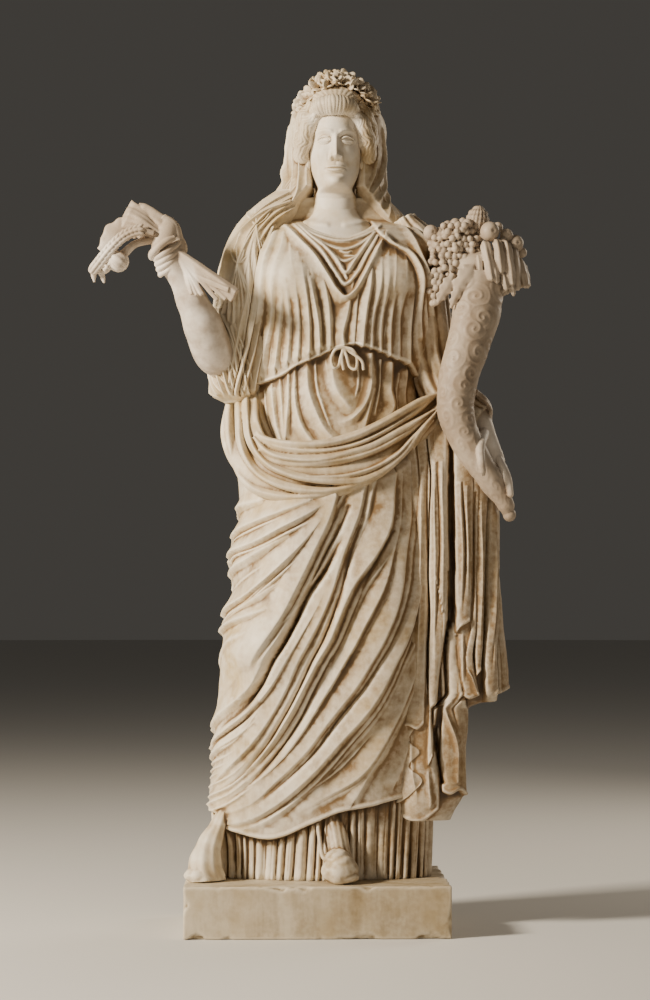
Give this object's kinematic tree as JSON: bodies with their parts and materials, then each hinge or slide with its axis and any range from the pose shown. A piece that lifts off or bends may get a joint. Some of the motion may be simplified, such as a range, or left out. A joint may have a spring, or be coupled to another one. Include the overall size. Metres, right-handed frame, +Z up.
{
  "type": "classical marble statue",
  "caption": "Standing draped female figure in carved marble with veil, flower wreath, horn of plenty and a bundle of wheat, on its own low rectangular plinth.",
  "frame": {"origin": "centre of the plinth's underside", "axes": "+Z up, -Y towards the viewer in front of the statue, +X to the viewer's right"},
  "size_m": [1.268, 0.5479, 2.5219],
  "materials": {
    "figure_marble": "carved and rubbed marble with brown patina in the folds",
    "restored_marble": "carved marble, pinkish grey, dull",
    "plinth_marble": "tooled marble with worn edges"
  },
  "bodies": {
    "root": {"figure": "figure_marble", "raised_forearm": "restored_marble", "cornucopia": "restored_marble", "plinth": "plinth_marble"}
  },
  "joints": []
}
